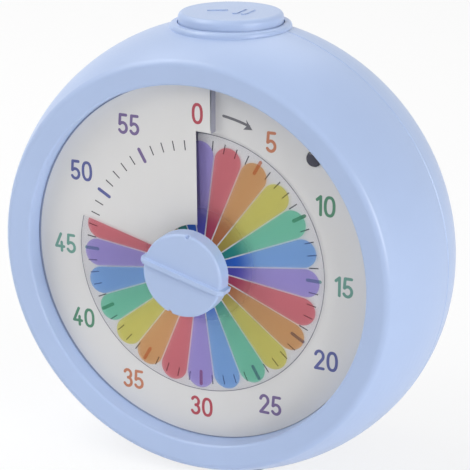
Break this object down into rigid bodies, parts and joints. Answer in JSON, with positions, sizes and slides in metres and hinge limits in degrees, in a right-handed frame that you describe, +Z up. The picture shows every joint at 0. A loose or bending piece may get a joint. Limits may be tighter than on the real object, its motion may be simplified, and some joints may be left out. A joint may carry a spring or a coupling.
{
  "type": "visual timer",
  "caption": "Round table timer on a flat base: a knob winds a rainbow disc through a slit in the dial to show the time left, and a push button sits on top.",
  "frame": {"origin": "on the ground plane under the middle of the timer's bounding box", "axes": "+Z up, the dial faces -Y, +X to the right as seen from the front"},
  "size_m": [0.1444, 0.0684, 0.1427],
  "materials": {
    "shell_plastic": "satin moulded, pale blue",
    "inner_plastic": "plain moulded, off-white",
    "dial_print": "matt printed card",
    "disc_film": "printed clear film",
    "gear_plastic": "natural acetal",
    "dark_plastic": "plain moulded, black",
    "steel": "zinc plated",
    "motor_can": "drawn can with copper windings inside",
    "brass": "turned",
    "board": "solder mask",
    "lamp_lens": "dark moulded lens",
    "cell_jacket": "plain sleeve",
    "foot_rubber": "matt"
  },
  "bodies": {
    "case": {"front_shell": "shell_plastic", "rear_shell": "shell_plastic", "chassis_plate": "inner_plastic", "dial_seat": "shell_plastic", "dial_card": "dial_print", "spindle_bush": "brass", "idler_pin": "steel", "motor": "motor_can", "movement_case": "dark_plastic", "movement_screws": "steel", "motor_screws": "steel", "button_spring": "steel", "tact_switch": "dark_plastic", "circuit_board": "board", "board_screws": "steel", "slide_switch": "steel", "speaker": "dark_plastic", "lamp": "lamp_lens", "lamp_board": "board", "cells": "cell_jacket", "battery_contacts": "steel", "feet": "foot_rubber", "shell_screws": "steel", "chassis_screws": "steel"},
    "setting": {"knob": "shell_plastic", "colour_film": "disc_film", "film_hub": "inner_plastic", "spindle": "steel", "clutch_washer": "steel", "retaining_clip": "steel"},
    "drive": {"drive_wheel": "gear_plastic"},
    "idler": {"idler_wheel": "gear_plastic"},
    "rotor": {"motor_pinion": "brass"},
    "button": {"button_cap": "shell_plastic"},
    "slider": {"switch_slider": "dark_plastic"},
    "door": {"battery_door": "shell_plastic", "door_screw": "steel"}
  },
  "joints": [
    {"name": "knob_turn", "type": "hinge", "parent": "case", "child": "setting", "pos_m": [0, 0, 0.068], "axis": [0, 1, 0], "range_deg": [-285, 45]},
    {"name": "drive_turn", "type": "hinge", "parent": "case", "child": "drive", "pos_m": [0, 0, 0.068], "axis": [0, 1, 0], "continuous": true},
    {"name": "idler_turn", "type": "hinge", "parent": "case", "child": "idler", "pos_m": [-0.0224, 0, 0.068], "axis": [0, 1, 0], "continuous": true},
    {"name": "rotor_turn", "type": "hinge", "parent": "case", "child": "rotor", "pos_m": [-0.012, 0, 0.08601], "axis": [0, 1, 0], "continuous": true},
    {"name": "button_press", "type": "slide", "parent": "case", "child": "button", "axis": [0, 0, -1], "range_m": [0, 0.0015], "stiffness_N_per_m": 400, "springref_m": -0.002, "deforming": ["button_spring"]},
    {"name": "sound_slide", "type": "slide", "parent": "case", "child": "slider", "axis": [1, 0, 0], "range_m": [-0.0025, 0.0025]},
    {"name": "door_off", "type": "slide", "parent": "case", "child": "door", "axis": [0, 1, 0], "range_m": [0, 0.025]}
  ],
  "couplings": [
    {"joint": "idler_turn", "follows": "drive_turn", "ratio": -2.5},
    {"joint": "rotor_turn", "follows": "drive_turn", "ratio": 5.625}
  ]
}
